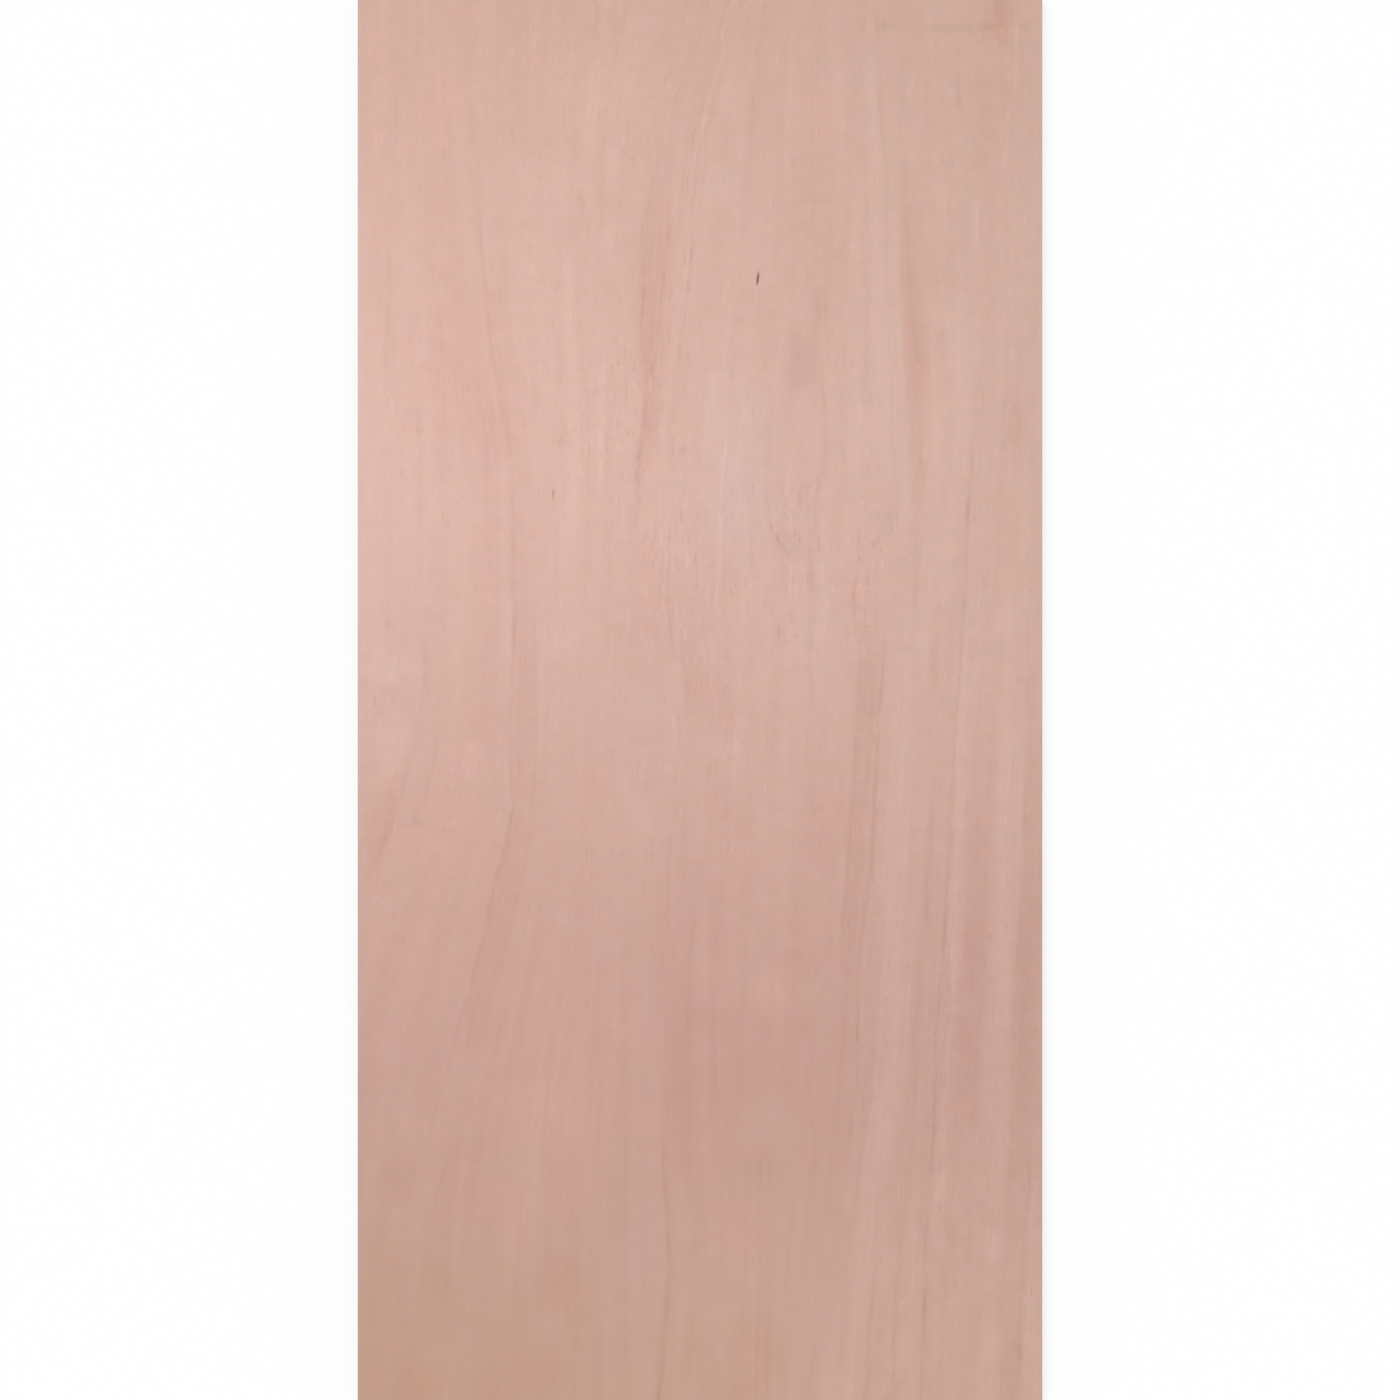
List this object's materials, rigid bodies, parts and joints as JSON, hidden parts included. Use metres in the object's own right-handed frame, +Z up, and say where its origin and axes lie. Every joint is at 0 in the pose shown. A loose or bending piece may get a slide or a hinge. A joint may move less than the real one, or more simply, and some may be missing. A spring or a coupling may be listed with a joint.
{
  "type": "plywood sheet",
  "caption": "Flat rectangular sheet of plywood with a pale pink-brown rotary-cut hardwood face and sawn edges that show crossed plies.",
  "frame": {"origin": "middle of the sheet's back, on the surface that it lies on", "axes": "+Y along the sheet's length and its face grain, +X across its width, +Z up out of the face"},
  "size_m": [1.22, 2.5, 0.018],
  "materials": {
    "face_veneer": "sanded, bare and matt",
    "core_plies": "sawn, bare and matt",
    "back_veneer": "sanded, bare and matt"
  },
  "bodies": {
    "root": {"plywood_sheet": "face_veneer"}
  },
  "joints": []
}
